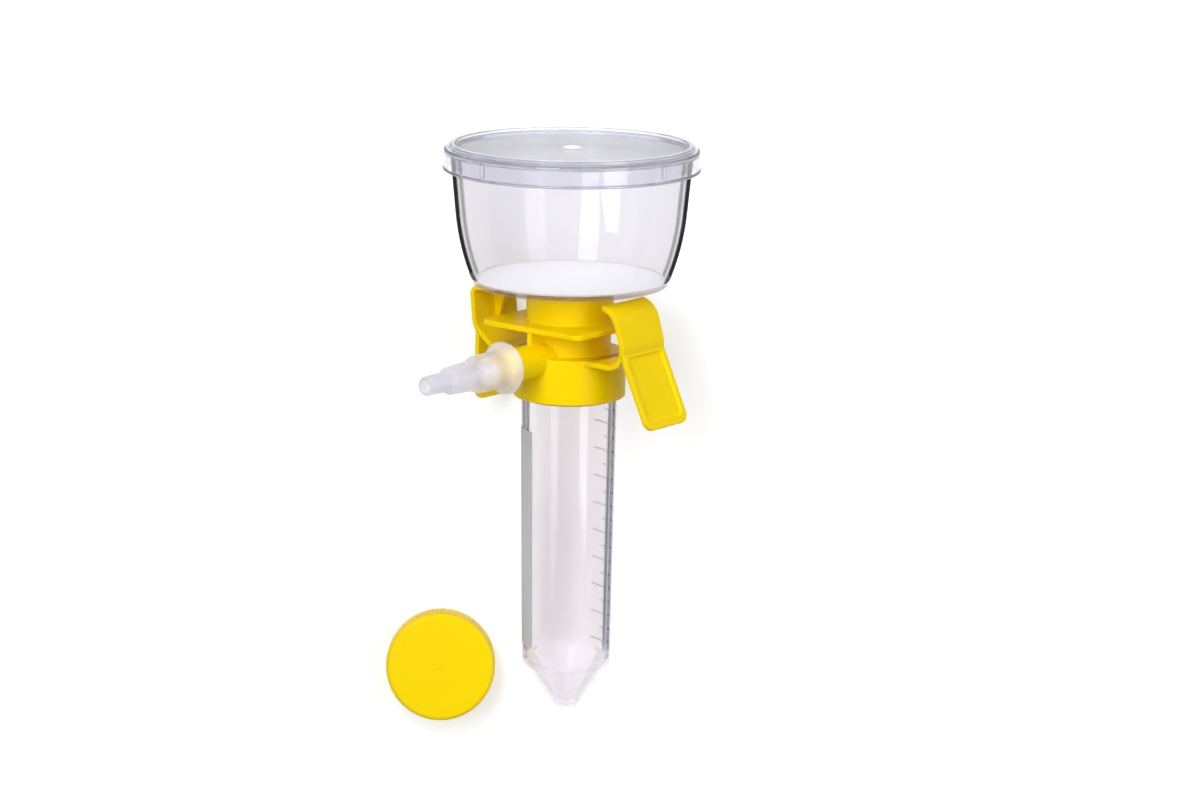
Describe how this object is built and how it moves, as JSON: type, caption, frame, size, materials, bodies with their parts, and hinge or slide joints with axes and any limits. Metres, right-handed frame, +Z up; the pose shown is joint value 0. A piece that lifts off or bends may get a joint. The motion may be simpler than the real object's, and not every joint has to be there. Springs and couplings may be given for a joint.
{
  "type": "vacuum filtration unit",
  "caption": "Clear lidded funnel with a membrane on a yellow adapter with finger levers and a hose connector, screwed on a conical tube; the tube's cap stands beside it.",
  "frame": {"origin": "on the floor, in the middle of the part's box", "axes": "+Z up; the unit lies with its axis along +X, rising to the lid; the cap stands on the +Y side of the tube's tip"},
  "size_m": [0.188, 0.0964, 0.0804],
  "materials": {
    "clear_cup": "clear polished polystyrene",
    "clear_tube": "clear, slightly milky polypropylene",
    "yellow": "yellow moulded polypropylene, satin gloss",
    "milky": "milky natural polypropylene",
    "membrane": "white microporous membrane",
    "seal": "soft seal ring",
    "wadding": "white fibre wad"
  },
  "bodies": {
    "unit": {"adapter": "yellow", "funnel": "clear_cup", "membrane": "membrane", "hose_connector": "milky", "port_filter": "wadding", "tube_seal": "seal", "tube_cap": "yellow"},
    "tube": {"tube": "clear_tube"},
    "lid": {"lid": "clear_cup"}
  },
  "joints": [
    {"name": "tube_screw", "type": "hinge", "parent": "unit", "child": "tube", "pos_m": [0.00994, -0.00872, 0.02744], "axis": [-0.987, 0, -0.161], "range_deg": [0, 540]},
    {"name": "lid_lift", "type": "slide", "parent": "unit", "child": "lid", "axis": [0.987, 0, 0.161], "range_m": [0, 0.03]}
  ]
}
